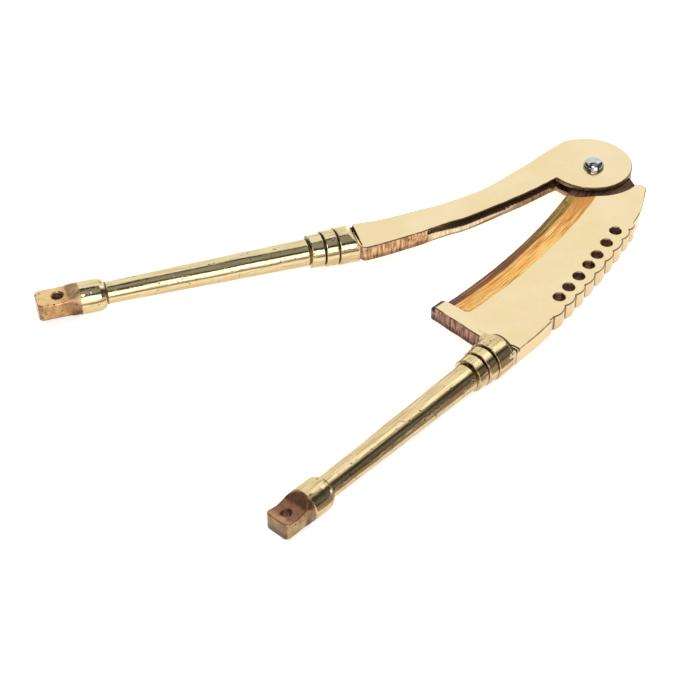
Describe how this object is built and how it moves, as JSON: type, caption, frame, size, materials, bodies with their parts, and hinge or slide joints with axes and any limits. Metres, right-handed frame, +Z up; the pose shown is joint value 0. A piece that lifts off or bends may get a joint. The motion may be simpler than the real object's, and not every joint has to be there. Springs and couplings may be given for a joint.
{
  "type": "nutcracker",
  "caption": "Long-handled cast brass nut cutter: a curved blade arm turns on a steel rivet in the forked head of a slotted anvil arm; ringed grips end in drilled lugs.",
  "frame": {"origin": "on the table under the middle of the tool as it lies half open", "axes": "+X from the grips towards the rivet, +Z up along the rivet, away from the table; the slotted arm lies on the +Y side"},
  "size_m": [0.1936, 0.1243, 0.0123],
  "materials": {
    "slotted_arm_brass": "hand-filed and polished cast brass",
    "blade_arm_brass": "hand-filed and polished cast brass with coarse ground bevels",
    "rivet_steel": "bright polished steel"
  },
  "bodies": {
    "slotted_arm_body": {"slotted_arm": "slotted_arm_brass", "pivot_rivet": "rivet_steel"},
    "blade_arm_body": {"blade_arm": "blade_arm_brass"}
  },
  "joints": [
    {"name": "blade_hinge", "type": "hinge", "parent": "slotted_arm_body", "child": "blade_arm_body", "pos_m": [0.0824, -0.0006, 0.00615], "axis": [0, 0, 1], "range_deg": [-22, 110]}
  ]
}
